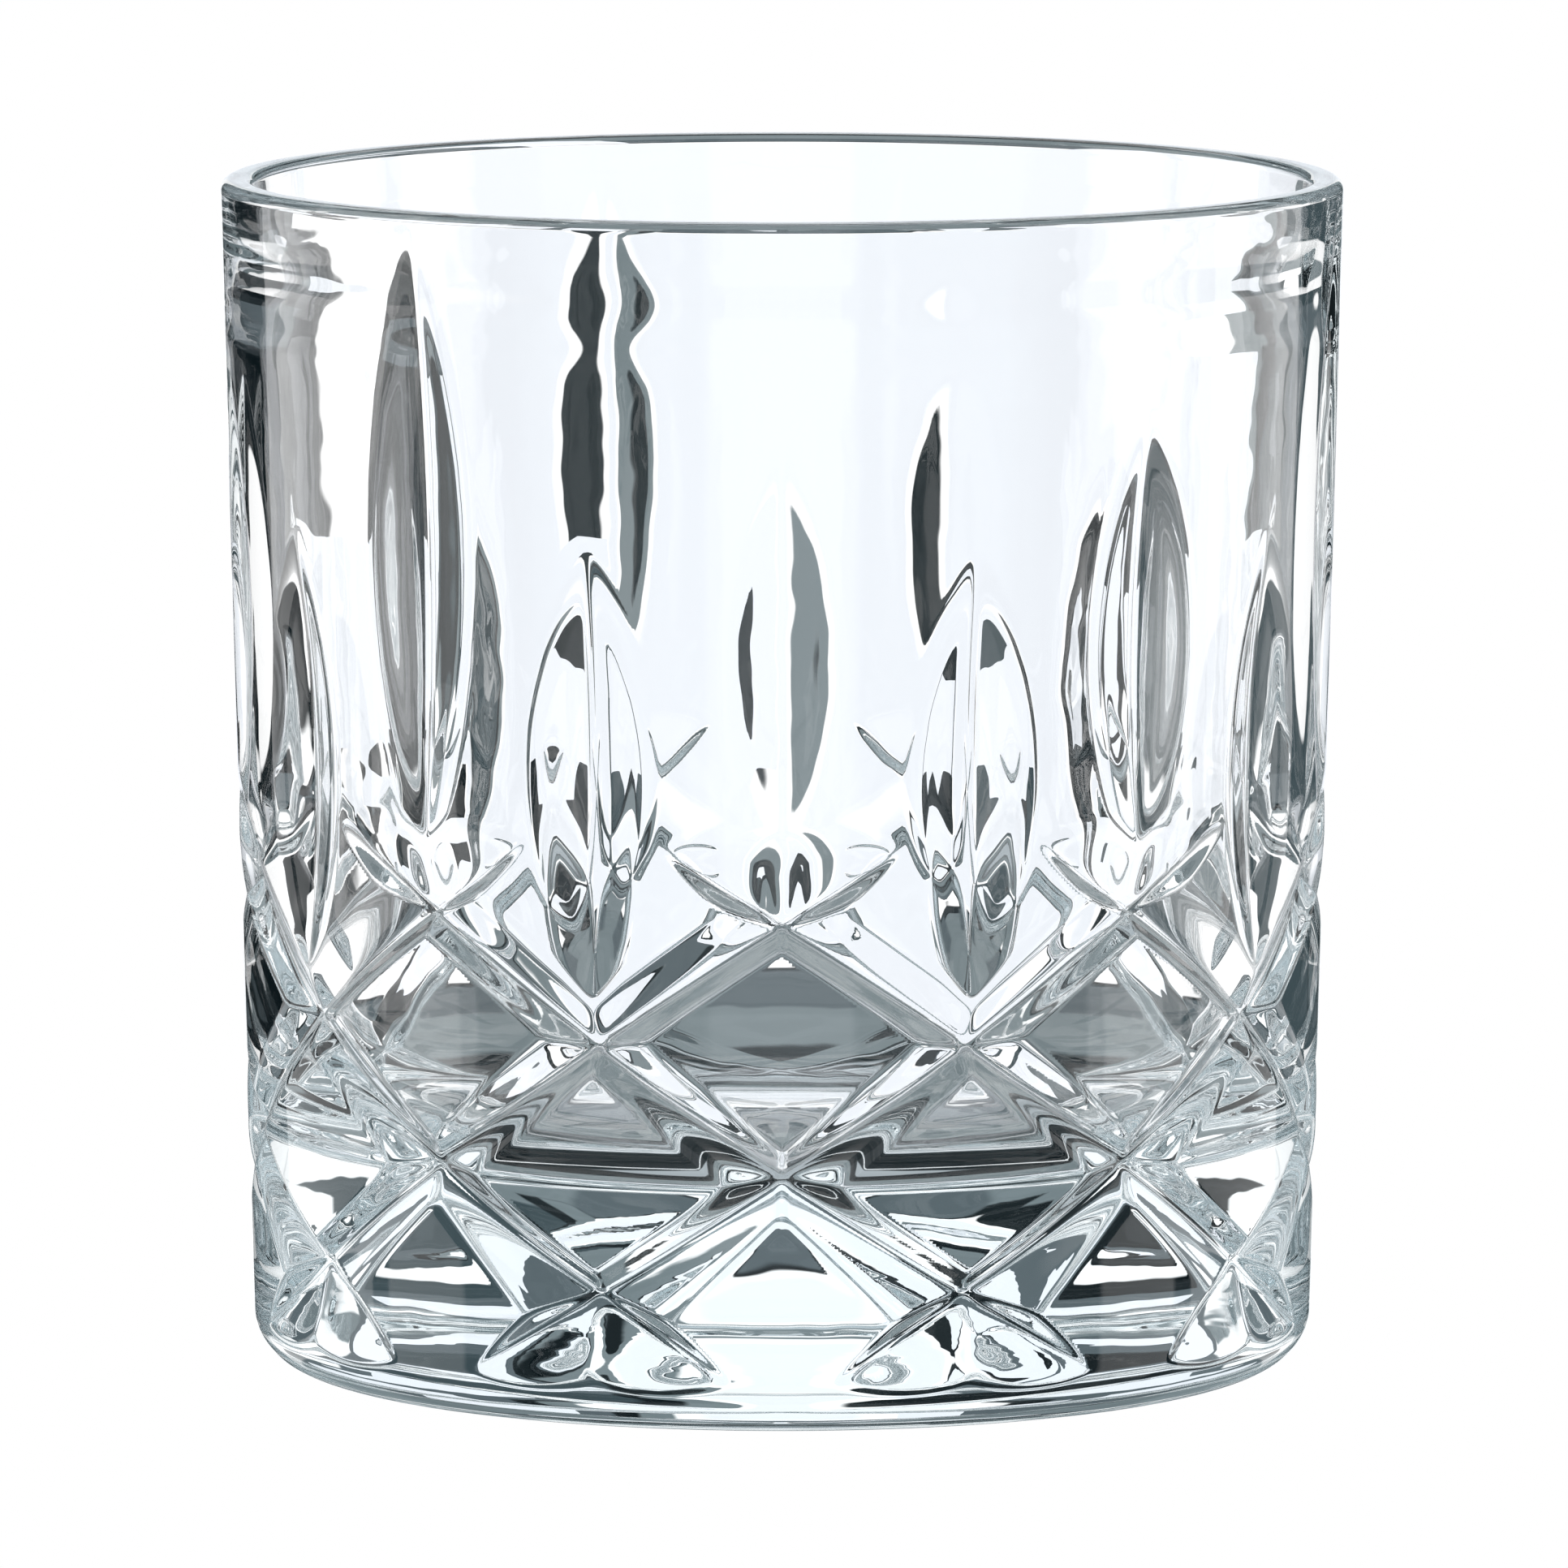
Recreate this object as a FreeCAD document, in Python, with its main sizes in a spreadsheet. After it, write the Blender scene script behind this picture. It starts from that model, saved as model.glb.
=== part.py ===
import FreeCAD, Part
import math
import os
import Sketcher

# Cut-glass whiskey tumbler: one piece of clear glass, hollow, on a thick base.
# Units are millimetres. +Z is up, the origin is the centre of the foot's resting plane.
# -Y is the front, and faces a crossing of the diagonal cuts that has no upright cut above it.

# Driving sizes.  Each name is a spreadsheet alias; angles are in degrees.
SIZES = [
    # blank: the plain glass before any cut
    ("rim_radius", 41.0),
    ("foot_radius", 38.7),
    ("overall_height", 87.0),
    ("rim_wall", 2.4),
    ("floor_wall", 3.5),
    ("floor_height", 16.5),
    ("floor_round", 9.0),
    ("foot_round", 4.0),
    ("lip_round", 0.9),
    ("recess_radius", 30.0),
    ("recess_depth", 1.2),
    ("recess_round", 0.55),
    # upright spear cuts: a V-edged wheel run into the wall, pointed at both ends
    ("spear_depth", 1.35),
    ("spear_slope", 15.0),
    ("low_bottom", 30.9),
    ("low_top", 62.3),
    ("middle_bottom", 40.0),
    ("middle_top", 72.0),
    ("tall_bottom", 40.4),
    ("tall_top", 84.7),
    # diagonal cuts: V grooves that cross in four rows round the lower wall
    ("groove_depth", 1.36),
    ("groove_slope", 35.0),
    ("groove_middle", 23.2),
    ("groove_rise", 27.5),
    ("groove_ring", 54.0),
    ("groove_shift", 0.94),
    ("groove_top_end", 25.7),
    ("groove_foot_end", 28.5),
    ("runout_wheel", 50.0),
    ("runout_sweep", 40.0),
]

# Sizes worked out from the ones above.
DERIVED = [
    ("taper", "=atan((rim_radius - foot_radius) / overall_height)"),
    ("middle_radius", "=foot_radius + (rim_radius - foot_radius) * groove_middle / overall_height"),
    ("groove_tilt", "=atan(groove_rise / middle_radius)"),
    ("ring_back", "=groove_ring - middle_radius + groove_depth"),
]

NODE = "glass_body"
FOLDS = 9                     # crossings in one row of the diagonal cuts
STEP = 360.0 / FOLDS          # from one crossing to the next, degrees
PROFILE_HALF = 6.0            # half width of a cutting wheel's edge profile
GROOVE_HALF = 3.5

# The tilted plane in which one diagonal groove is cut, a quarter step off a crossing, and the turn
# that stands a wheel's edge profile upright in it.
GROOVE_PLANE = (f"placement(vector(0; 0; 0); rotationz({-0.75 * STEP}))"
                " * placement(vector(0; 0; sizes.groove_middle); rotationy(-sizes.groove_tilt))")
UPRIGHT = "placement(vector(0; 0; 0); rotationx(90))"


def make_sheet(doc):
    """Puts the driving sizes, and the ones worked out from them, into a spreadsheet."""
    sheet = doc.addObject("Spreadsheet::Sheet", "sizes")
    for row, (name, value) in enumerate(SIZES + DERIVED, start=1):
        sheet.set(f"A{row}", name)
        sheet.set(f"B{row}", str(value))
        sheet.setAlias(f"B{row}", name)
    doc.recompute()
    return sheet


def origin_item(body, role):
    """The body's own origin plane or axis of that role."""
    for feature in body.Origin.OriginFeatures:
        if feature.Role == role:
            return feature
    raise ValueError(role)


def add_sketch(body, name, placing, role="XY_Plane"):
    """A sketch on one of the body's origin planes, moved there by a placement expression."""
    sketch = body.newObject("Sketcher::SketchObject", name)
    sketch.AttachmentSupport = [(origin_item(body, role), "")]
    sketch.MapMode = "FlatFace"
    if placing:
        sketch.setExpression("AttachmentOffset", placing)
    return sketch


def draw_outline(sketch, corners):
    """A closed outline of straight lines; each corner is held by two expressions, x and y."""
    count = len(corners)
    turn = 2 * math.pi / count
    spots = [FreeCAD.Vector(10 * math.cos(i * turn), 10 * math.sin(i * turn), 0) for i in range(count)]
    for i in range(count):
        sketch.addGeometry(Part.LineSegment(spots[i], spots[(i + 1) % count]), False)
    for i in range(count):
        sketch.addConstraint(Sketcher.Constraint("Coincident", i, 2, (i + 1) % count, 1))
    for i, formulas in enumerate(corners):
        for letter, formula, value, axis in zip("xy", formulas, spots[i], (-2, -1)):
            if formula == "0":
                sketch.addConstraint(Sketcher.Constraint("PointOnObject", i, 1, axis))
                continue
            kind = "Distance" + letter.upper()
            number = sketch.addConstraint(Sketcher.Constraint(kind, -1, 1, i, 1, value))
            label = f"corner{i}{letter}"
            sketch.renameConstraint(number, label)
            sketch.setExpression(f"Constraints.{label}", formula)


def add_blank(body):
    """The plain tumbler: a tapered wall, a thick base, and a shallow recess under it."""
    sketch = add_sketch(body, "blank_outline", None, "XZ_Plane")
    inner_foot = "sizes.foot_radius + tan(sizes.taper) * sizes.floor_height - sizes.floor_wall"
    draw_outline(sketch, [
        ("0", "sizes.recess_depth"),
        ("sizes.recess_radius", "sizes.recess_depth"),
        ("sizes.recess_radius", "0"),
        ("sizes.foot_radius", "0"),
        ("sizes.rim_radius", "sizes.overall_height"),
        ("sizes.rim_radius - sizes.rim_wall", "sizes.overall_height"),
        (inner_foot, "sizes.floor_height"),
        ("0", "sizes.floor_height"),
    ])
    blank = body.newObject("PartDesign::Revolution", "blank")
    blank.Profile = sketch
    blank.ReferenceAxis = (sketch, ["V_Axis"])
    blank.Angle = 360.0
    body.Document.recompute()
    return blank


def round_edges(body, name, base, size, rings):
    """Rounds the circular edges that lie at the given radius and height pairs."""
    names = []
    for i, edge in enumerate(base.Shape.Edges, start=1):
        curve = edge.Curve
        if not isinstance(curve, Part.Circle):
            continue
        for radius, height in rings:
            if abs(curve.Radius - radius) < 0.05 and abs(curve.Center.z - height) < 0.05:
                names.append(f"Edge{i}")
    if len(set(names)) != len(rings):
        raise ValueError(f"{name}: found {names} for {len(rings)} edges")
    fillet = body.newObject("PartDesign::Fillet", name)
    fillet.Base = (base, sorted(set(names)))
    fillet.setExpression("Radius", f"sizes.{size}")
    body.Document.recompute()
    return fillet


def round_blank(body, blank, sizes):
    """Rounds the foot, the lip, the inside corner of the floor and the edges of the recess."""
    top, foot, rim = sizes.overall_height, sizes.foot_radius, sizes.rim_radius
    floor = foot + (rim - foot) * sizes.floor_height / top - sizes.floor_wall
    step = round_edges(body, "foot_corner", blank, "foot_round", [(foot, 0.0)])
    step = round_edges(body, "lip", step, "lip_round", [(rim, top), (rim - sizes.rim_wall, top)])
    step = round_edges(body, "floor_corner", step, "floor_round", [(floor, sizes.floor_height)])
    recess, depth = sizes.recess_radius, sizes.recess_depth
    return round_edges(body, "recess_edge", step, "recess_round", [(recess, 0.0), (recess, depth)])


def repeat_round(body, name, cuts, count, mirrored=False):
    """Repeats cuts evenly round the glass, with their mirror images where asked."""
    pattern = body.newObject("PartDesign::MultiTransform", name)
    pattern.Originals = cuts
    steps = []
    if mirrored:
        mirror = body.newObject("PartDesign::Mirrored", name + "_mirror")
        mirror.MirrorPlane = (origin_item(body, "YZ_Plane"), [""])
        steps.append(mirror)
    polar = body.newObject("PartDesign::PolarPattern", name + "_turns")
    polar.Axis = (origin_item(body, "Z_Axis"), [""])
    polar.Angle = 360.0
    polar.Occurrences = count
    steps.append(polar)
    pattern.Transformations = steps
    body.Tip = pattern
    body.Document.recompute()
    return pattern


def add_spears(body, name, bottom, top, turn, count):
    """Upright cuts between two heights, made by a V-edged wheel that stands upright outside the wall."""
    middle = f"(sizes.{bottom} + sizes.{top}) / 2"
    wheel = f"((sizes.{top} - sizes.{bottom})^2 / (8 * sizes.spear_depth) + sizes.spear_depth / 2)"
    wall = f"(sizes.foot_radius + tan(sizes.taper) * {middle})"
    out = f"({wall} + ({wheel} - sizes.spear_depth) * cos(sizes.taper))"
    height = f"({middle} - ({wheel} - sizes.spear_depth) * sin(sizes.taper))"
    placing = f"placement(vector(0; 0; 0); rotationz({turn})) * translationm(0; -{out}; {height})"
    sketch = add_sketch(body, name + "_wheel", placing)
    inner = f"{wheel} - {PROFILE_HALF} * tan(sizes.spear_slope)"
    draw_outline(sketch, [("0", wheel), (f"-{PROFILE_HALF}", inner), (f"{PROFILE_HALF}", inner)])
    cut = body.newObject("PartDesign::Groove", name + "_cut")
    cut.Profile = sketch
    cut.ReferenceAxis = (sketch, ["H_Axis"])
    cut.Angle = 360.0
    body.Document.recompute()
    return repeat_round(body, name, [cut], count)


def draw_groove_edge(sketch, apex, side):
    """The V edge that cuts a diagonal groove; its point is at the apex, its back on the given side."""
    back = f"{apex} {side} {GROOVE_HALF} * tan(sizes.groove_slope)"
    draw_outline(sketch, [(apex, "0"), (back, f"{GROOVE_HALF}"), (back, f"-{GROOVE_HALF}")])


def add_runout(body, name, end, swing):
    """The wheel that lifts a diagonal groove out of the wall at one end of its even cut."""
    reach = "(sizes.groove_ring + sizes.runout_wheel)"
    along = f"sizes.groove_shift {swing} {reach} * sin(sizes.{end})"
    across = f"sizes.ring_back - {reach} * cos(sizes.{end})"
    placing = (f"{GROOVE_PLANE} * placement(vector({along}; {across}; 0);"
               f" rotationz({swing}sizes.{end} - 90)) * {UPRIGHT}")
    sketch = add_sketch(body, name + "_edge", placing)
    draw_groove_edge(sketch, "-sizes.runout_wheel", "+")
    cut = body.newObject("PartDesign::Groove", name + "_cut")
    cut.Profile = sketch
    cut.ReferenceAxis = (sketch, ["V_Axis"])
    cut.Midplane = True
    cut.setExpression("Angle", "sizes.runout_sweep")
    body.Document.recompute()
    return cut


def add_lattice(body):
    """Diagonal grooves in both hands: a long even cut that runs out above the foot and at its top end."""
    placing = (f"{GROOVE_PLANE} * placement(vector(sizes.groove_shift; sizes.ring_back; 0);"
               f" rotationz(-90)) * {UPRIGHT}")
    sketch = add_sketch(body, "groove_ring_edge", placing)
    draw_groove_edge(sketch, "sizes.groove_ring", "+")
    ring = body.newObject("PartDesign::Groove", "groove_cut")
    ring.Profile = sketch
    ring.ReferenceAxis = (sketch, ["V_Axis"])
    ring.Type = "TwoAngles"
    ring.setExpression("Angle", "sizes.groove_top_end")
    ring.setExpression("Angle2", "sizes.groove_foot_end")
    body.Document.recompute()
    top = add_runout(body, "top_runout", "groove_top_end", "+")
    foot = add_runout(body, "foot_runout", "groove_foot_end", "-")
    return repeat_round(body, "lattice", [ring, top, foot], FOLDS, mirrored=True)


def report_step(name, before, shape):
    """Prints what a cut took away, so a cut that misses the glass shows."""
    print(f"{name}: volume {shape.Volume:.1f} mm3, took {before - shape.Volume:.1f}, valid {shape.isValid()}")
    return shape.Volume


def main():
    doc = FreeCAD.newDocument("whiskey_tumbler")
    sheet = make_sheet(doc)
    body = doc.addObject("PartDesign::Body", NODE)
    body.Label = NODE

    rounded = round_blank(body, add_blank(body), sheet)
    volume = report_step("blank", rounded.Shape.Volume, rounded.Shape)
    cuts = [
        ("lattice", lambda: add_lattice(body)),
        ("low_spears", lambda: add_spears(body, "low_spears", "low_bottom", "low_top", STEP / 2, FOLDS)),
        ("middle_spears", lambda: add_spears(body, "middle_spears", "middle_bottom", "middle_top", STEP, 3)),
        ("tall_spears", lambda: add_spears(body, "tall_spears", "tall_bottom", "tall_top", 2 * STEP, 3)),
    ]
    for name, make in cuts:
        volume = report_step(name, volume, make().Shape)

    for item in doc.Objects:
        bad = [word for word in item.State if word in ("Invalid", "Error")]
        if bad:
            raise RuntimeError(f"{item.Name}: {item.State}")
    shape = body.Shape
    if shape.isNull() or not shape.isValid() or len(shape.Solids) != 1:
        raise RuntimeError("the glass isn't one valid solid")
    os.makedirs("parts", exist_ok=True)
    shape.exportStep(f"parts/{NODE}.step")
    box = shape.BoundBox
    print(f"{NODE}: {box.XLength:.2f} x {box.YLength:.2f} x {box.ZLength:.2f} mm, faces {len(shape.Faces)}")


main()
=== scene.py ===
"""Looks of the whiskey tumbler: one piece of clear cut glass on a white floor, in a studio of panels."""
import math
import bpy
import numpy as np
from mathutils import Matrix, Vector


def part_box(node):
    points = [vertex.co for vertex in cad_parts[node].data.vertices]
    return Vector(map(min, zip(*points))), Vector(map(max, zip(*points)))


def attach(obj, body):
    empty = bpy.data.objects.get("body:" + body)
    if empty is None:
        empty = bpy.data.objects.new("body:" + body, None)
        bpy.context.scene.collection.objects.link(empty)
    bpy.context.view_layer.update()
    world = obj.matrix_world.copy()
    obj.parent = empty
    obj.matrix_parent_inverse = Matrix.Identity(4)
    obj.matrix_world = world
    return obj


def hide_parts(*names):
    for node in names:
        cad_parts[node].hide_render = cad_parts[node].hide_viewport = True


NODE = "glass_body"
PIECE = "cut_glass_tumbler"
MM = 0.001

# Blank of the glass, in millimetres. The rim's radius and the height come from the frame.
FOOT_RADIUS = 38.7
RIM_WALL = 2.4
FLOOR_WALL = 3.5
FLOOR_HEIGHT = 16.5
FLOOR_ROUND = 9.0
FOOT_ROUND = 4.0
LIP_ROUND = 0.9
RECESS_RADIUS = 30.0      # hollow under the base
RECESS_DEPTH = 1.2
RECESS_ROUND = 0.55
BEAD_HEIGHT = 79.3        # faint ring of thicker wall below the rim, from shaping the rim
BEAD_SWELL = 0.5
BEAD_SPREAD = 2.6

# Cuts: lengths in millimetres, angles in radians.
FOLDS = 9
STEP = math.radians(360 / FOLDS)
SPEAR_DEPTH = 1.35
SPEAR_SLOPE = math.radians(15)
SPEARS = [                # bottom, top, azimuth of the first, step to the next
    (30.9, 62.3, STEP / 2, STEP),
    (40.0, 72.0, STEP, 3 * STEP),
    (40.4, 84.7, 2 * STEP, 3 * STEP),
]
GROOVE_DEPTH = 1.36
GROOVE_SLOPE = math.radians(35)
GROOVE_MIDDLE = 23.2      # height at which the grooves of both hands are halfway up
GROOVE_RISE = 27.5        # height gained over a quarter of the way round
GROOVE_PHASE = 0.75 * STEP  # from the middle of a groove to the front of the glass
GROOVE_RING = 54.0        # radius of the even part of the cut
GROOVE_SHIFT = 0.94       # how far that ring's centre lies along the groove
GROOVE_TOP_END = math.radians(25.7)
GROOVE_FOOT_END = math.radians(28.5)
RUNOUT_WHEEL = 50.0       # radius of the wheel that leads the cut out of the wall

# Polish: the widths over which the edges and valleys of the cuts are rounded, in millimetres.
RIDGE_ROUND = 0.4
VALLEY_ROUND = 0.32

# Where each cut is looked for, in millimetres and radians: wide enough to hold all of it.
SPEAR_HALF_WIDTH = 0.2
SPEAR_MARGIN = 1
GROOVE_HALF_LENGTH = math.radians(66)
GROOVE_CEILING = 48
GROOVE_HALF_WIDTH = 6
RUNOUT_LENGTH = 0.5
SETTLE_PASSES = 3

# Grid of the mesh: points round the glass, then points along each part of its profile.
ROUND_POINTS = 1080
FLAT_POINTS = 14
RECESS_ARC_POINTS = 7
FOOT_RING_POINTS = 10
FOOT_ARC_POINTS = 40
WALL_POINTS = 380
LIP_ARC_POINTS = 11
INNER_WALL_POINTS = 60
FLOOR_ARC_POINTS = 60
HUB_SHARE = 0.02          # the innermost ring of a flat, as a share of the flat's radius
FOOT_RING_GAP = 0.3       # from the recess's rounded edge to the first ring of the foot
BEAD_REACH = 3            # the inner wall's finer rows go this many spreads below the bead

# Glass.
GLASS_IOR = 1.52
GLASS_TINT = (0.80, 0.95, 1.0, 1)
TINT_DENSITY = 4.0
RIPPLE_SCALE = 110.0
RIPPLE_DETAIL = 2.0
RIPPLE_HEIGHT = 0.05      # unevenness of the polished surface, in millimetres


def both_sides(name, near, far, low, high, feather, tone):
    """The same panel on the left and on the right."""
    return [
        ("left_" + name, -far, -near, low, high, feather, tone),
        ("right_" + name, near, far, low, high, feather, tone),
    ]


# Tones of the studio, as linear colours.
WHITE = (1.25, 1.25, 1.25)
COOL = (1.03, 1.07, 1.13)
PALE = (0.62, 0.68, 0.72)
GREY = (0.20, 0.245, 0.26)
# Painted shade: the grey of the floor in shadow under the glass, as the glass sees it.
FLOOR_SHADE = (0.42, 0.47, 0.50)
SLATE = (0.11, 0.14, 0.155)
DARK = (0.05, 0.075, 0.085)
BLACK = (0.004, 0.008, 0.01)
CAMERA_WHITE = (1, 1, 1, 1)
# What the glass sees: azimuth from the far side toward +X, elevation and feather, all in degrees,
# then the tone. Later panels cover earlier ones, and ROOM shows between them.
ALL_ROUND = (-181, 181)
ROOM = GREY
PANELS = [
    ("ceiling", *ALL_ROUND, 62, 91, 4, PALE),
    *both_sides("near_panel", 164, 181, -30, 26, 2, PALE),
    *both_sides("back_flag", 107, 124, -45, 26, 2, BLACK),
    *both_sides("back_box", 85, 107, -30, 26, 2, WHITE),
    *both_sides("gap", 79, 85, -45, 26, 2, BLACK),
    *both_sides("top_box", 50, 150, 26, 50, 3, WHITE),
    ("far_top_box", -30, 30, 30, 55, 3, WHITE),
    # Painted shade: below the glass the studio holds a grey floor with black round it, in place of the
    # floor's shadow under and around the glass.
    ("painted_floor_shade", *ALL_ROUND, -91, -54, 3, FLOOR_SHADE),
    *both_sides("painted_floor_shade", 24, 97, -84, -54, 3, BLACK),
    ("painted_floor_shade_rim", *ALL_ROUND, -55, -40, 3, BLACK),
    ("far_low", -30, 30, -38, -24, 2, GREY),
    ("near_low", 124, 164, -45, -10, 3, DARK),
    *both_sides("side", 9, 46, 1, 24, 2, SLATE),
    ("left_flag", -46, -9, -14, 2, 1, BLACK),
    ("right_flag", 9, 46, -14, 2, 1, DARK),
    *both_sides("strip", 46, 80, -24, 20, 1, WHITE),
    *both_sides("low_strip", 20, 46, -24, -14, 1, WHITE),
    ("far_gap", -13, 13, -17, 26, 0.6, BLACK),
    ("far_panel", -9.4, 10.6, -14, 26, 0.6, WHITE),
    ("far_right_edge", 8.0, 10.9, -17, 26, 0.5, GREY),
    ("far_middle", -6, 6, -12.5, 20, 2, COOL),
    ("near_gap", -8, 8, -24, -15, 1, SLATE),
]
# White cards that stand close behind the glass: left, right, low and high edge, in millimetres.
CARDS = [
    ("card_left", -75, -26, 20, 42),
    ("card_middle", -20.5, -12.5, 20, 60),
    ("card_right", 26, 75, 20, 42),
    ("card_upper_right", 24, 60, 38, 75),
]
CARD_BEHIND = 138

# Floor, in metres. It lies a hair below the foot, so the two faces don't touch.
FLOOR_HALF = 4.0
FLOOR_DROP = 0.0002

# Camera: distance from the point it aims at and that point's height, in metres; lens in millimetres.
CAMERA_DISTANCE = 1.2112
CAMERA_ELEVATION = math.radians(6.844)
CAMERA_AIM = 0.04234
CAMERA_LENS = 379.66
CAMERA_SENSOR = 36
CAMERA_SHIFT = 0.0013
CAMERA_NEAR = 0.01
CAMERA_FAR = 50

LIGHT_BOUNCES = 32


def wall_radius(height, rim_radius, top):
    """Radius of the uncut outer wall at a height."""
    return FOOT_RADIUS + (rim_radius - FOOT_RADIUS) * height / top


def arc(centre_r, centre_z, radius, start, end, count):
    """Points of an arc in the profile plane, without its first one."""
    angles = np.linspace(start, end, count + 1)[1:]
    return [(centre_r + radius * math.cos(angle), centre_z + radius * math.sin(angle)) for angle in angles]


def inner_wall(inner_foot, slope, start, end):
    """Points down the inner wall with its bead, closer together from the lip to just below the bead."""
    below_bead = BEAD_HEIGHT - BEAD_REACH * BEAD_SPREAD
    heights = np.concatenate([
        np.linspace(start, below_bead, INNER_WALL_POINTS)[1:],
        np.linspace(below_bead, end, INNER_WALL_POINTS)[1:],
    ])
    swell = BEAD_SWELL * np.exp(-((heights - BEAD_HEIGHT) / BEAD_SPREAD) ** 2)
    return list(zip(inner_foot + slope * (heights - FLOOR_HEIGHT) - swell, heights))


def blank_profile(rim, top):
    """The uncut glass from the middle of the foot, out, up, over the lip and down to the floor.

    Returns the radius and height of each row of the grid, and whether the row takes the cuts."""
    rows = []

    def add(points, cut=False):
        rows.extend((r, z, cut) for r, z in points)

    # Recess under the base.
    flat = RECESS_RADIUS - RECESS_ROUND
    recess_edge = RECESS_RADIUS + RECESS_ROUND
    add([(flat * share, RECESS_DEPTH) for share in np.linspace(HUB_SHARE, 1, FLAT_POINTS)])
    add(arc(flat, RECESS_DEPTH - RECESS_ROUND, RECESS_ROUND, math.pi / 2, 0, RECESS_ARC_POINTS))
    add(arc(recess_edge, RECESS_ROUND, RECESS_ROUND, math.pi, 1.5 * math.pi, RECESS_ARC_POINTS))

    # Foot and outer wall.
    taper = math.atan((rim - FOOT_RADIUS) / top)
    foot_r = FOOT_RADIUS + math.tan(taper) * FOOT_ROUND - FOOT_ROUND / math.cos(taper)
    foot_rings = np.linspace(recess_edge + FOOT_RING_GAP, foot_r, FOOT_RING_POINTS)
    add([(r, 0.0) for r in foot_rings], cut=True)
    add(arc(foot_r, FOOT_ROUND, FOOT_ROUND, -math.pi / 2, -taper, FOOT_ARC_POINTS), cut=True)
    lip_z = top - LIP_ROUND
    lip_r = rim - math.tan(taper) * LIP_ROUND - LIP_ROUND / math.cos(taper)
    heights = np.linspace(rows[-1][1], lip_z - LIP_ROUND * math.sin(taper), WALL_POINTS)[1:]
    add([(wall_radius(z, rim, top), z) for z in heights], cut=True)

    # Lip.
    inner_rim = rim - RIM_WALL
    inner_foot = wall_radius(FLOOR_HEIGHT, rim, top) - FLOOR_WALL
    slope = (inner_rim - inner_foot) / (top - FLOOR_HEIGHT)
    lean = math.atan(slope)
    inner_lip_r = inner_rim - slope * LIP_ROUND + LIP_ROUND / math.cos(lean)
    add(arc(lip_r, lip_z, LIP_ROUND, -taper, math.pi / 2, LIP_ARC_POINTS))
    add([(inner_rim + LIP_ROUND, top)])
    add(arc(inner_lip_r, lip_z, LIP_ROUND, math.pi / 2, math.pi, LIP_ARC_POINTS))

    # Inner wall and floor.
    floor_z = FLOOR_HEIGHT + FLOOR_ROUND
    floor_r = inner_foot + slope * FLOOR_ROUND - FLOOR_ROUND / math.cos(lean)
    add(inner_wall(inner_foot, slope, lip_z, floor_z - FLOOR_ROUND * math.sin(lean)))
    add(arc(floor_r, floor_z, FLOOR_ROUND, -lean, -math.pi / 2, FLOOR_ARC_POINTS))
    add([(floor_r * share, FLOOR_HEIGHT) for share in np.linspace(1, HUB_SHARE, FLAT_POINTS)[1:]])
    radius, height, cut = (np.array(column) for column in zip(*rows))
    return radius, height, cut.astype(bool)


def blend_min(first, second, size):
    """The smaller of two radii, with the ridge between them rounded."""
    share = np.clip(0.5 + 0.5 * (first - second) / size, 0, 1)
    return first * (1 - share) + second * share - size * share * (1 - share)


def wrap(angle, step):
    """The angle from the nearest of a ring of places that are one step apart."""
    return (angle + step / 2) % step - step / 2


def settle(radius, depth):
    """Moves the wall in by the depth that it lies inside the cutter, until it meets the cutter."""
    for _ in range(SETTLE_PASSES):
        radius = radius - depth(radius)
    return radius


def cut_spears(turn, height, blank, radius, rim, top):
    """Upright cuts, each from a V-edged wheel that stands upright outside the wall."""
    taper = math.atan((rim - FOOT_RADIUS) / top)
    edge = math.tan(SPEAR_SLOPE)
    for bottom, upper, first, step in SPEARS:
        middle = (bottom + upper) / 2
        wheel = (upper - bottom) ** 2 / (8 * SPEAR_DEPTH) + SPEAR_DEPTH / 2
        axle_r = wall_radius(middle, rim, top) + (wheel - SPEAR_DEPTH) * math.cos(taper)
        axle_z = middle - (wheel - SPEAR_DEPTH) * math.sin(taper)
        across = wrap(turn - first, step)
        near = ((np.abs(across) < SPEAR_HALF_WIDTH) & (height > bottom - SPEAR_MARGIN)
                & (height < upper + SPEAR_MARGIN))
        angle, z = across[near], height[near]

        def depth(r):
            reach = np.hypot(axle_r - r * np.cos(angle), z - axle_z)
            return wheel - reach - edge * np.hypot(r * np.sin(angle), VALLEY_ROUND)

        radius[near] = blend_min(radius[near], settle(blank[near], depth), RIDGE_ROUND)


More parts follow.
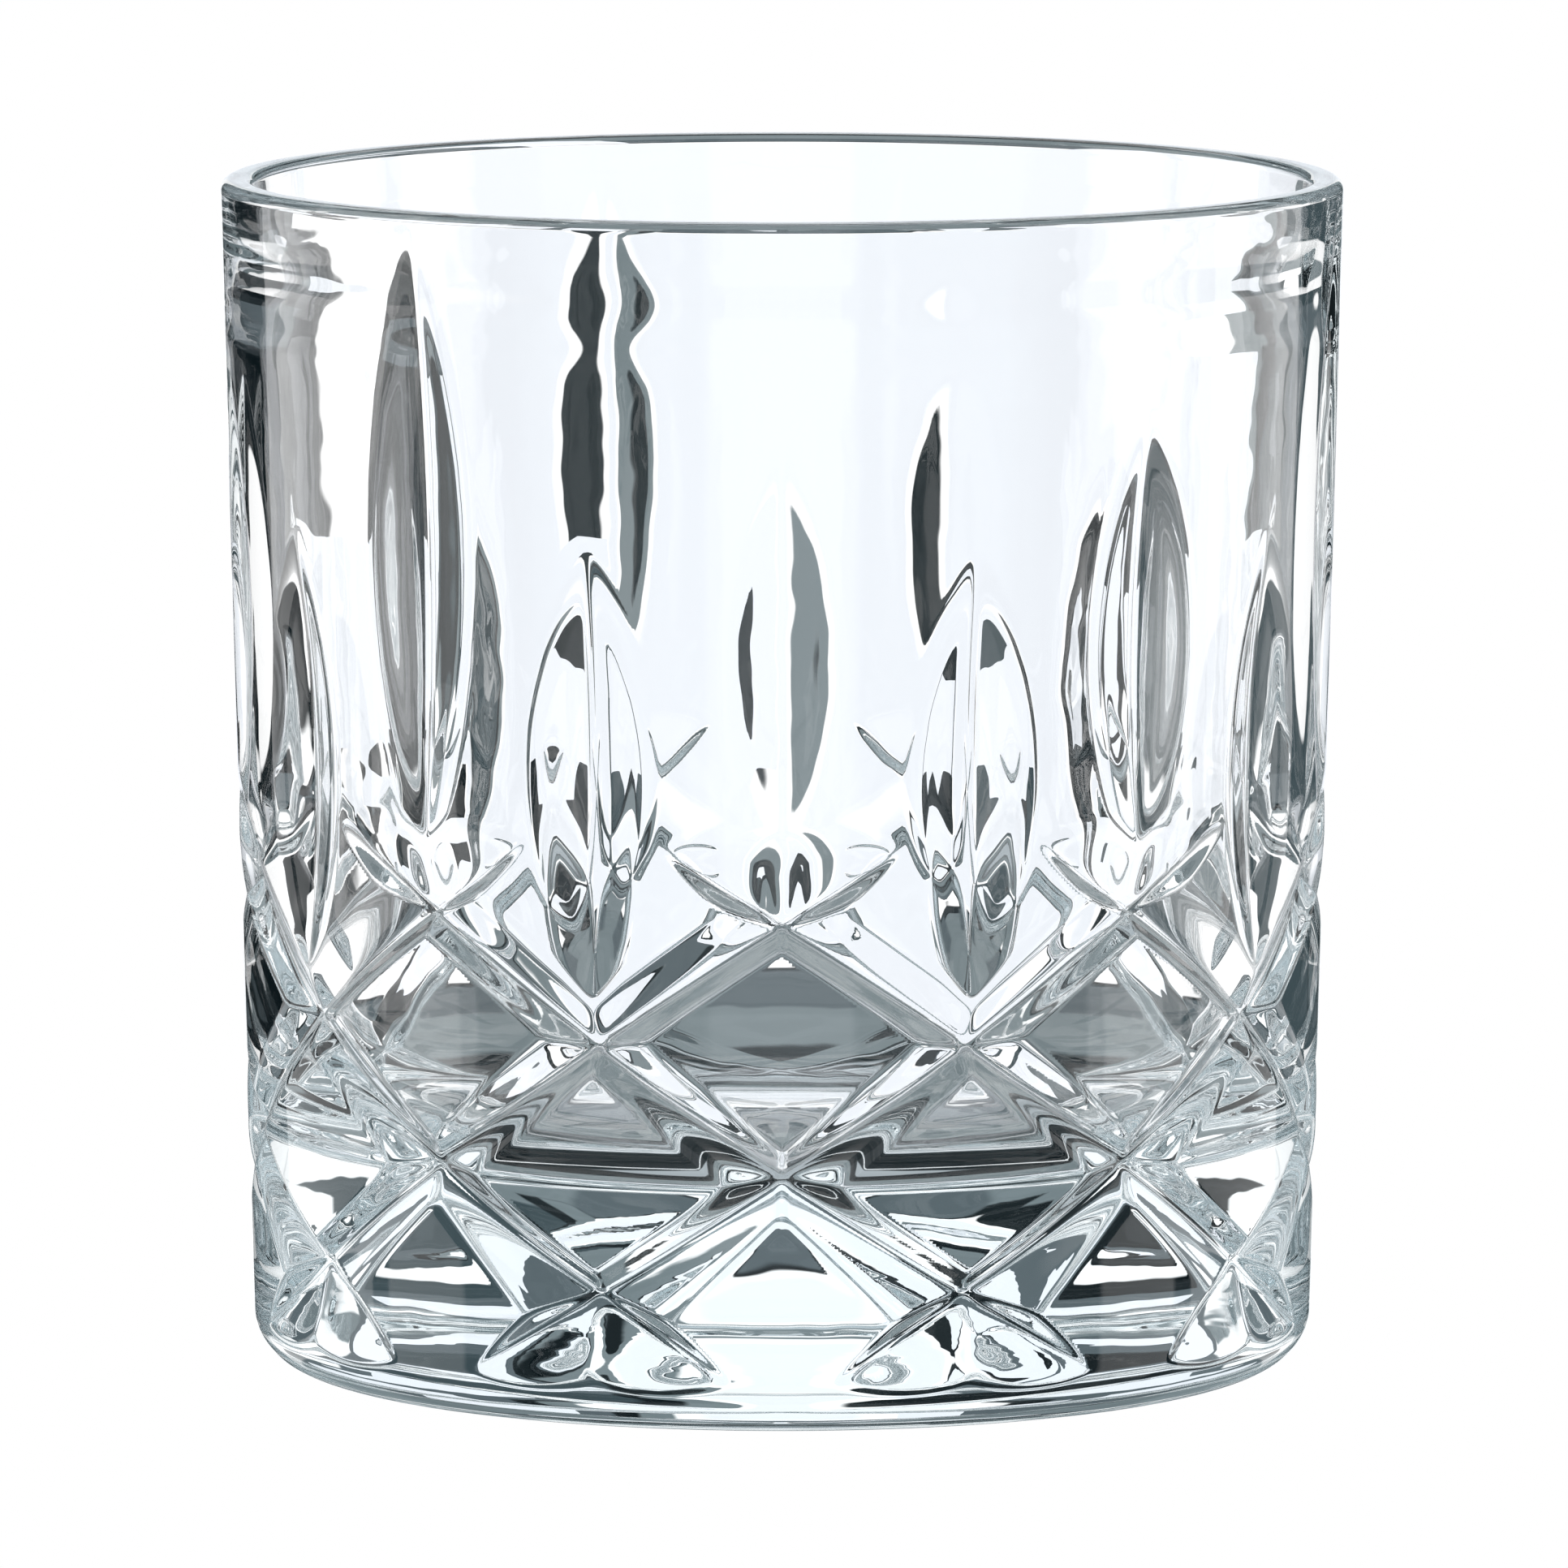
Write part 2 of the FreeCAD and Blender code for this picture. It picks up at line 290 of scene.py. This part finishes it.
def cut_grooves(turn, height, blank, radius, rim, top):
    """Diagonal V grooves of both hands: a long even cut that runs out at both ends."""
    edge = math.tan(GROOVE_SLOPE)
    middle_r = wall_radius(GROOVE_MIDDLE, rim, top)
    tilt = math.atan(GROOVE_RISE / middle_r)
    back = GROOVE_RING - middle_r + GROOVE_DEPTH
    reach = GROOVE_RING + RUNOUT_WHEEL
    for hand in (1, -1):
        turned = wrap(hand * turn + GROOVE_PHASE, STEP)
        # A groove is longer than a step, so a point can be reached by the grooves of its neighbours.
        for place in (-1, 0, 1, 2):
            across = turned + place * STEP
            near = (np.abs(across) < GROOVE_HALF_LENGTH) & (height < GROOVE_CEILING)
            angle, z = across[near], height[near] - GROOVE_MIDDLE

            def in_groove_plane(r):
                """Place along the groove, out from its ring's centre, and to the side of its valley."""
                x, y = r * np.sin(angle), r * np.cos(angle)
                along = x * math.cos(tilt) + z * math.sin(tilt) - GROOVE_SHIFT
                return along, y + back, z * math.cos(tilt) - x * math.sin(tilt)

            def depth(r):
                along, out, side = in_groove_plane(r)
                slope = edge * np.hypot(side, VALLEY_ROUND)
                swing = np.arctan2(along, out)
                end = np.where(swing > 0, GROOVE_TOP_END, -GROOVE_FOOT_END)
                even = np.hypot(along, out) - GROOVE_RING - slope
                to_axle = np.hypot(along - reach * np.sin(end), out - reach * np.cos(end))
                runout = RUNOUT_WHEEL - to_axle - slope
                return np.where(np.abs(swing) <= np.abs(end), even, runout)

            cut = settle(blank[near], depth)
            along, out, side = in_groove_plane(cut)
            swing = np.arctan2(along, out)
            reached = ((np.abs(side) < GROOVE_HALF_WIDTH) & (swing < GROOVE_TOP_END + RUNOUT_LENGTH)
                       & (swing > -GROOVE_FOOT_END - RUNOUT_LENGTH))
            clear_of_glass = 2 * blank[near]
            cut = np.where(reached, cut, clear_of_glass)
            radius[near] = blend_min(radius[near], cut, RIDGE_ROUND)


def glass_points(rim, top):
    """Grid of points over the whole surface, one row per profile point, in millimetres."""
    blank_r, blank_z, cut = blank_profile(rim, top)
    turns = np.arange(ROUND_POINTS) * 2 * math.pi / ROUND_POINTS
    turn, height = np.meshgrid(turns, blank_z)
    blank = np.repeat(blank_r[:, None], ROUND_POINTS, 1)
    radius = blank.copy()
    wall = radius[cut]
    cut_spears(turn[cut], height[cut], blank[cut], wall, rim, top)
    cut_grooves(turn[cut], height[cut], blank[cut], wall, rim, top)
    radius[cut] = wall
    return np.stack([radius * np.sin(turn), -radius * np.cos(turn), height], -1)


def grid_normals(points):
    """Unit normals of the grid, from the lines to its neighbours."""
    around = np.roll(points, -1, 1) - np.roll(points, 1, 1)
    up = np.gradient(points, axis=0)
    normal = np.cross(around, up)
    return normal / np.maximum(np.linalg.norm(normal, axis=2, keepdims=True), 1e-12)


def glass_mesh(name, rim, top):
    """The cut glass as one closed mesh, its normals those of the cut surface.

    The grid leaves a small hole in the middle of the foot and of the floor. A fan of triangles
    closes each of them."""
    points = glass_points(rim, top)
    rows = len(points)
    foot_hub = rows * ROUND_POINTS
    floor_hub = foot_hub + 1
    centres = [[0, 0, points[0, 0, 2]], [0, 0, points[-1, 0, 2]]]
    verts = np.vstack([points.reshape(-1, 3), centres]) * MM
    normals = np.vstack([grid_normals(points).reshape(-1, 3), [[0, 0, -1], [0, 0, 1]]])

    here = np.arange(ROUND_POINTS)
    after = (here + 1) % ROUND_POINTS
    start = np.arange(rows - 1)[:, None] * ROUND_POINTS
    above = start + ROUND_POINTS
    quads = np.stack([start + here, start + after, above + after, above + here], -1).reshape(-1, 4)
    last = (rows - 1) * ROUND_POINTS
    caps = np.vstack([
        np.stack([np.full_like(here, foot_hub), after, here], -1),
        np.stack([np.full_like(here, floor_hub), last + here, last + after], -1),
    ])
    corners = np.concatenate([quads.ravel(), caps.ravel()])
    starts = np.concatenate([np.arange(len(quads)) * 4, quads.size + np.arange(len(caps)) * 3])
    mesh = bpy.data.meshes.new(name)
    mesh.vertices.add(len(verts))
    mesh.vertices.foreach_set("co", verts.astype(np.float32).ravel())
    mesh.loops.add(len(corners))
    mesh.loops.foreach_set("vertex_index", corners.astype(np.int32))
    mesh.polygons.add(len(starts))
    mesh.polygons.foreach_set("loop_start", starts.astype(np.int32))
    mesh.polygons.foreach_set("use_smooth", np.ones(len(starts), bool))
    mesh.update(calc_edges=True)
    mesh.normals_split_custom_set_from_vertices(normals.tolist())
    return mesh


def in_scene(name, data):
    """A new object of this data, linked to the scene."""
    thing = bpy.data.objects.new(name, data)
    bpy.context.scene.collection.objects.link(thing)
    return thing


def rectangle(name, corners, material):
    """A flat four-cornered object with one material."""
    mesh = bpy.data.meshes.new(name)
    mesh.from_pydata(corners, [], [(0, 1, 2, 3)])
    mesh.materials.append(material)
    return in_scene(name, mesh)


class Nodes:
    """Short names for adding and linking shader nodes."""

    # Where a colour mix keeps its sockets among all those of the Mix node.
    MIX_SHARE = 0
    MIX_FIRST = 6
    MIX_SECOND = 7
    MIX_RESULT = 2

    def __init__(self, owner):
        owner.use_nodes = True
        self.tree = owner.node_tree
        self.tree.nodes.clear()

    def add(self, kind, **settings):
        node = self.tree.nodes.new(kind)
        for key, value in settings.items():
            setattr(node, key, value)
        return node

    def feed(self, socket, value):
        """Links an output to the socket, or sets the socket's own value."""
        if isinstance(value, bpy.types.NodeSocket):
            self.tree.links.new(value, socket)
        else:
            socket.default_value = value

    def math(self, operation, *values):
        node = self.add("ShaderNodeMath", operation=operation)
        for socket, value in zip(node.inputs, values):
            self.feed(socket, value)
        return node.outputs[0]

    def ramp(self, value, start, end):
        """0 at start, 1 at end, smooth between. The end may be the smaller one."""
        node = self.add("ShaderNodeMapRange", interpolation_type="SMOOTHSTEP")
        for name, given in (("Value", value), ("From Min", start), ("From Max", end)):
            self.feed(node.inputs[name], given)
        return node.outputs[0]

    def between(self, value, low, high, feather):
        """1 between low and high, 0 outside them, smooth over the feather at both."""
        rise = self.ramp(value, low - feather / 2, low + feather / 2)
        fall = self.ramp(value, high + feather / 2, high - feather / 2)
        return self.math("MULTIPLY", rise, fall)

    def mix(self, label, share, first, second):
        """The first colour where the share is 0, the second where it is 1."""
        node = self.add("ShaderNodeMix", data_type="RGBA", label=label)
        self.feed(node.inputs[self.MIX_SHARE], share)
        self.feed(node.inputs[self.MIX_FIRST], first)
        self.feed(node.inputs[self.MIX_SECOND], second)
        return node.outputs[self.MIX_RESULT]


def glass_material():
    """Clear, faintly cool glass whose polished surface is not perfectly even."""
    material = bpy.data.materials.new("clear_glass")
    nodes = Nodes(material)
    out = nodes.add("ShaderNodeOutputMaterial")
    shader = nodes.add("ShaderNodeBsdfPrincipled")
    nodes.feed(shader.inputs["Base Color"], (1, 1, 1, 1))
    nodes.feed(shader.inputs["Roughness"], 0.0)
    nodes.feed(shader.inputs["IOR"], GLASS_IOR)
    nodes.feed(shader.inputs["Transmission Weight"], 1.0)
    ripple = nodes.add("ShaderNodeTexNoise")
    nodes.feed(ripple.inputs["Vector"], nodes.add("ShaderNodeTexCoord").outputs["Object"])
    nodes.feed(ripple.inputs["Scale"], RIPPLE_SCALE)
    nodes.feed(ripple.inputs["Detail"], RIPPLE_DETAIL)
    bump = nodes.add("ShaderNodeBump")
    nodes.feed(bump.inputs["Strength"], 1.0)
    nodes.feed(bump.inputs["Distance"], RIPPLE_HEIGHT * MM)
    nodes.feed(bump.inputs["Height"], ripple.outputs["Fac"])
    nodes.feed(shader.inputs["Normal"], bump.outputs["Normal"])
    nodes.feed(out.inputs["Surface"], shader.outputs["BSDF"])
    absorb = nodes.add("ShaderNodeVolumeAbsorption")
    nodes.feed(absorb.inputs["Color"], GLASS_TINT)
    nodes.feed(absorb.inputs["Density"], TINT_DENSITY)
    nodes.feed(out.inputs["Volume"], absorb.outputs["Volume"])
    return material


def glow_material(name, colour):
    """A surface that gives off one even colour and needs no light."""
    material = bpy.data.materials.new(name)
    nodes = Nodes(material)
    glow = nodes.add("ShaderNodeEmission")
    nodes.feed(glow.inputs["Color"], (*colour, 1))
    nodes.feed(nodes.add("ShaderNodeOutputMaterial").inputs["Surface"], glow.outputs[0])
    return material


def studio_world():
    """The panels round the glass as one background, which the camera itself sees as plain white. Below the
    glass the panels hold a painted shade of the floor.
    """
    world = bpy.data.worlds.new("studio")
    bpy.context.scene.world = world
    nodes = Nodes(world)
    out = nodes.add("ShaderNodeOutputWorld")
    background = nodes.add("ShaderNodeBackground")
    parts = nodes.add("ShaderNodeSeparateXYZ")
    nodes.feed(parts.inputs[0], nodes.add("ShaderNodeTexCoord").outputs["Generated"])
    x, y, z = parts.outputs
    azimuth = nodes.math("MULTIPLY", nodes.math("ARCTAN2", x, y), 180 / math.pi)
    elevation = nodes.math("MULTIPLY", nodes.math("ARCSINE", z), 180 / math.pi)
    colour = (*ROOM, 1)
    for name, left, right, low, high, feather, tone in PANELS:
        share = nodes.math("MULTIPLY", nodes.between(azimuth, left, right, feather),
                           nodes.between(elevation, low, high, feather))
        colour = nodes.mix(name, share, colour, (*tone, 1))
    seen = nodes.add("ShaderNodeLightPath").outputs["Is Camera Ray"]
    nodes.feed(background.inputs["Color"], nodes.mix("camera_white", seen, colour, CAMERA_WHITE))
    nodes.feed(out.inputs["Surface"], background.outputs[0])
    world.cycles.sampling_method = "NONE"


def reflector_cards():
    """Small white cards behind the glass, which the camera does not see directly."""
    white = glow_material("card_white", COOL)
    for name, left, right, low, high in CARDS:
        edges = [(left, low), (right, low), (right, high), (left, high)]
        card = rectangle(name, [(x * MM, CARD_BEHIND * MM, z * MM) for x, z in edges], white)
        card.visible_camera = False


def white_floor():
    """A wide, evenly bright floor for the camera; the glass looks past it to the studio, which holds a
    painted shade of the floor below the glass.
    """
    sides = ((-1, -1), (1, -1), (1, 1), (-1, 1))
    corners = [(x * FLOOR_HALF, y * FLOOR_HALF, 0) for x, y in sides]
    floor = rectangle("floor", corners, glow_material("floor_white", (1, 1, 1)))
    floor.location.z = -FLOOR_DROP
    floor.visible_transmission = False
    floor.visible_glossy = False
    floor.visible_diffuse = False
    floor.visible_shadow = False


def product_camera():
    """A long lens, a little above the glass, aimed at its middle."""
    data = bpy.data.cameras.new("camera")
    camera = in_scene("camera", data)
    data.sensor_width = CAMERA_SENSOR
    data.lens = CAMERA_LENS
    data.shift_x = CAMERA_SHIFT
    data.clip_start = CAMERA_NEAR
    data.clip_end = CAMERA_FAR
    camera.location.y = -CAMERA_DISTANCE * math.cos(CAMERA_ELEVATION)
    camera.location.z = CAMERA_AIM + CAMERA_DISTANCE * math.sin(CAMERA_ELEVATION)
    camera.rotation_euler.x = math.pi / 2 - CAMERA_ELEVATION
    bpy.context.scene.camera = camera


def render_quality():
    """Enough bounces for the many walls that light crosses in cut glass, and plain display colours."""
    scene = bpy.context.scene
    scene.view_settings.view_transform = "Standard"
    scene.cycles.max_bounces = LIGHT_BOUNCES
    scene.cycles.transmission_bounces = LIGHT_BOUNCES
    scene.cycles.glossy_bounces = LIGHT_BOUNCES
    scene.cycles.sample_clamp_indirect = 0


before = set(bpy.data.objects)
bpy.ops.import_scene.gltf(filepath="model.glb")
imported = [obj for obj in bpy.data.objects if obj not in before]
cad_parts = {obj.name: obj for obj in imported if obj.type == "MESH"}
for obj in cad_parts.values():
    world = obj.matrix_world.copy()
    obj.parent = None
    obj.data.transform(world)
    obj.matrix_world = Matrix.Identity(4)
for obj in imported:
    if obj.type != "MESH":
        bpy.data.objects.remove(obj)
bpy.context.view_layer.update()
low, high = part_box(NODE)
rim_radius = (high.x - low.x) / 2 / MM
glass = in_scene(PIECE, glass_mesh(PIECE, rim_radius, high.z / MM))
glass.data.materials.append(glass_material())
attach(glass, "root")
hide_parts(NODE)
white_floor()
reflector_cards()
studio_world()
product_camera()
render_quality()
